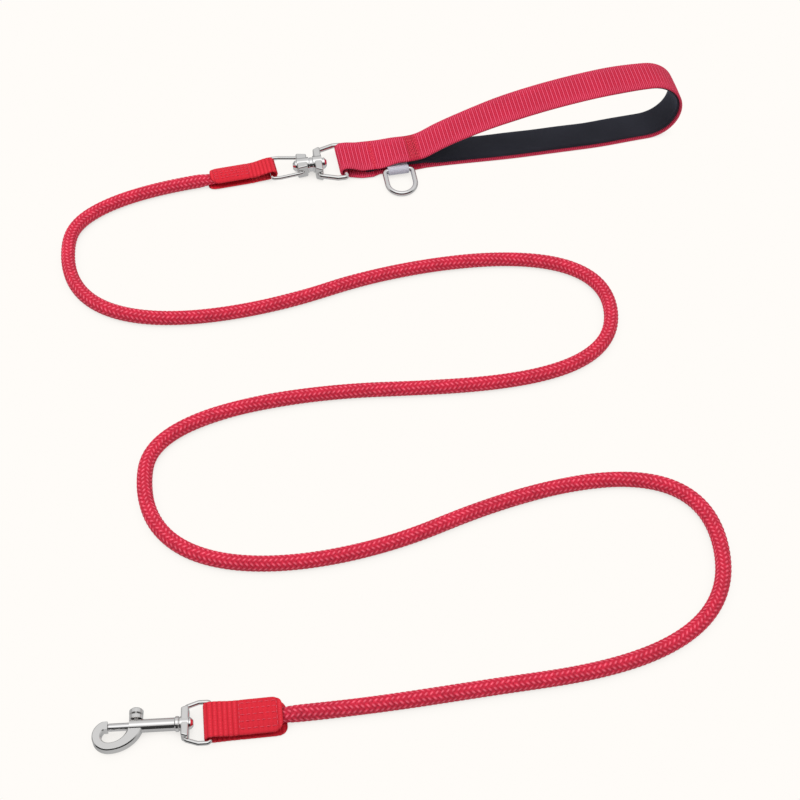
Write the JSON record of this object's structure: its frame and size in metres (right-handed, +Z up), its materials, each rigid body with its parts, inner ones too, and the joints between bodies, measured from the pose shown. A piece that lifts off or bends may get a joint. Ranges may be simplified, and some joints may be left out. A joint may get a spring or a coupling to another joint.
{
  "type": "training leash",
  "caption": "Round rope training leash with a padded webbing hand loop, a swivel behind the loop, a swinging D-ring and a swivel snap hook for the collar.",
  "frame": {"origin": "middle of the laid-out leash on the floor, under the centre of its bounding box", "axes": "+Z up from the floor the leash lies on, +Y from the snap hook towards the hand loop, +X to the right seen from the hook's side"},
  "size_m": [0.369, 0.4501, 0.041],
  "materials": {
    "rope_braid": "braided polyester, slight sheen",
    "rope_core": "loose white filament core",
    "sleeve_webbing": "ribbed webbing",
    "handle_webbing": "ribbed webbing",
    "lining": "matt foam lining with a smooth knit face",
    "tab_ribbon": "smooth grey ribbon",
    "thread": "sewing thread",
    "plated_metal": "bright nickel plate on die-cast zinc",
    "spring_wire": "drawn steel wire"
  },
  "bodies": {
    "rope_run_3": {"rope_sheath_run_3": "rope_braid", "rope_core_run_3": "rope_core"},
    "rope_run_2": {"rope_sheath_run_2": "rope_braid", "rope_core_run_2": "rope_core"},
    "rope_run_1": {"rope_sheath_run_1": "rope_braid", "rope_core_run_1": "rope_core", "handle_end_sleeve": "sleeve_webbing", "handle_end_stitching": "thread"},
    "rope_frame": {"swivel_rope_frame": "plated_metal", "swivel_pin": "plated_metal", "swivel_washer": "plated_metal"},
    "handle_frame": {"swivel_handle_frame": "plated_metal"},
    "handle": {"handle_webbing": "handle_webbing", "handle_lining": "lining", "handle_front_stitching": "thread", "handle_rear_stitching": "thread", "d_ring_tab": "tab_ribbon"},
    "ring": {"d_ring": "plated_metal"},
    "rope_run_4": {"rope_sheath_run_4": "rope_braid", "rope_core_run_4": "rope_core"},
    "rope_run_5": {"rope_sheath_run_5": "rope_braid", "rope_core_run_5": "rope_core", "hook_end_sleeve": "sleeve_webbing", "hook_end_stitching": "thread"},
    "eye": {"swivel_eye": "plated_metal"},
    "hook": {"hook_body": "plated_metal", "hook_rivet": "plated_metal", "bolt_spring": "spring_wire"},
    "bolt_and_stud": {"bolt": "plated_metal", "thumb_stud": "plated_metal"}
  },
  "joints": [
    {"name": "bend_2_3", "type": "hinge", "parent": "rope_run_3", "child": "rope_run_2", "pos_m": [0.13, 0.04844, 0.004], "axis": [0, 0, -1], "range_deg": [-10, 45]},
    {"name": "bend_1_2", "type": "hinge", "parent": "rope_run_2", "child": "rope_run_1", "pos_m": [-0.1805, 0.10544, 0.004], "axis": [0, 0, 1], "range_deg": [-10, 45]},
    {"name": "bend_3_4", "type": "hinge", "parent": "rope_run_3", "child": "rope_run_4", "pos_m": [-0.12, -0.06256, 0.004], "axis": [0, 0, -1], "range_deg": [-10, 45]},
    {"name": "bend_4_5", "type": "hinge", "parent": "rope_run_4", "child": "rope_run_5", "pos_m": [0.172, -0.11656, 0.004], "axis": [0, 0, 1], "range_deg": [-10, 45]},
    {"name": "rope_frame_hinge", "type": "hinge", "parent": "rope_run_1", "child": "rope_frame", "pos_m": [-0.0662, 0.16564, 0.005], "axis": [0.1564, -0.9877, 0], "range_deg": [-60, 60]},
    {"name": "swivel_turn", "type": "hinge", "parent": "rope_frame", "child": "handle_frame", "pos_m": [-0.0422, 0.16944, 0.005], "axis": [0.9877, 0.1564, 0], "continuous": true},
    {"name": "handle_hinge", "type": "hinge", "parent": "handle_frame", "child": "handle", "pos_m": [-0.02215, 0.17262, 0.005], "axis": [0.1564, -0.9877, 0], "range_deg": [-60, 60]},
    {"name": "d_ring_swing", "type": "hinge", "parent": "handle", "child": "ring", "pos_m": [0.0108, 0.16557, 0.004], "axis": [0.9816, 0.1908, 0], "range_deg": [-80, 80]},
    {"name": "eye_hinge", "type": "hinge", "parent": "rope_run_5", "child": "eye", "pos_m": [-0.0756, -0.20976, 0.004], "axis": [-0.061, 0.9981, 0], "range_deg": [-60, 60]},
    {"name": "hook_turn", "type": "hinge", "parent": "eye", "child": "hook", "pos_m": [-0.09556, -0.21098, 0.004], "axis": [-0.9981, -0.061, 0], "continuous": true},
    {"name": "bolt_slide", "type": "slide", "parent": "hook", "child": "bolt_and_stud", "axis": [0.9981, 0.061, 0], "range_m": [0, 0.007], "stiffness_N_per_m": 250, "springref_m": -0.006, "deforming": ["bolt_spring"]}
  ]
}
